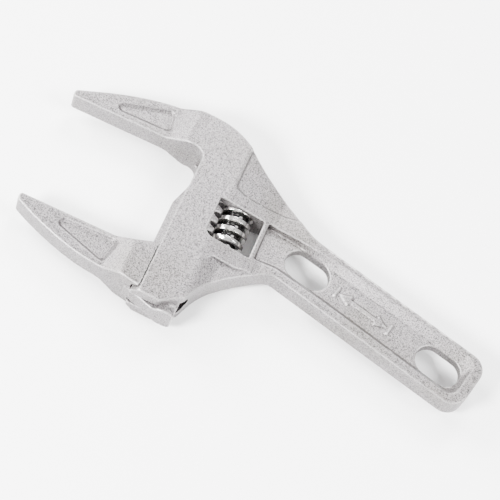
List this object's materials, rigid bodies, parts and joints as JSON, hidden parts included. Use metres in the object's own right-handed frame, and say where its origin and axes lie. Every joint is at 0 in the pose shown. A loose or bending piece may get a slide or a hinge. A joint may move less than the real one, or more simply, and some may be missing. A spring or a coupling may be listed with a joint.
{
  "type": "adjustable wrench",
  "caption": "Short wide-opening adjustable wrench: cast aluminium fixed jaw and handle, a sliding jaw on a round toothed rail, and a steel worm that drives it.",
  "frame": {"origin": "centre of the underside of the bounding box, the tool lying flat with its jaws at the opening it is stored at", "axes": "+X along the handle from the head to the handle's end, +Z through the thickness, +Y towards the fixed jaw's side"},
  "size_m": [0.2018, 0.0852, 0.02],
  "materials": {
    "cast_aluminium": "die-cast and shot-blasted, matt, fine grain",
    "cast_aluminium_jaw": "die-cast and shot-blasted, matt, fine grain",
    "polished_steel": "turned and nickel-plated, bright",
    "pin_steel": "ground",
    "spring_steel": "drawn wire"
  },
  "bodies": {
    "body": {"body": "cast_aluminium", "worm_pin": "pin_steel", "worm_spring": "spring_steel"},
    "moving_jaw": {"moving_jaw": "cast_aluminium_jaw"},
    "worm": {"worm": "polished_steel"}
  },
  "joints": [
    {"name": "jaw_slide", "type": "slide", "parent": "body", "child": "moving_jaw", "axis": [-0.225, 0.9744, 0], "range_m": [-0.018, 0.044]},
    {"name": "worm_spin", "type": "hinge", "parent": "body", "child": "worm", "pos_m": [-0.01492, 0.00558, 0.01], "axis": [-0.225, 0.9744, 0], "range_deg": [-3375.2, 1383.7]}
  ],
  "couplings": [
    {"joint": "worm_spin", "follows": "jaw_slide", "rad_per_m": -1336.8}
  ]
}
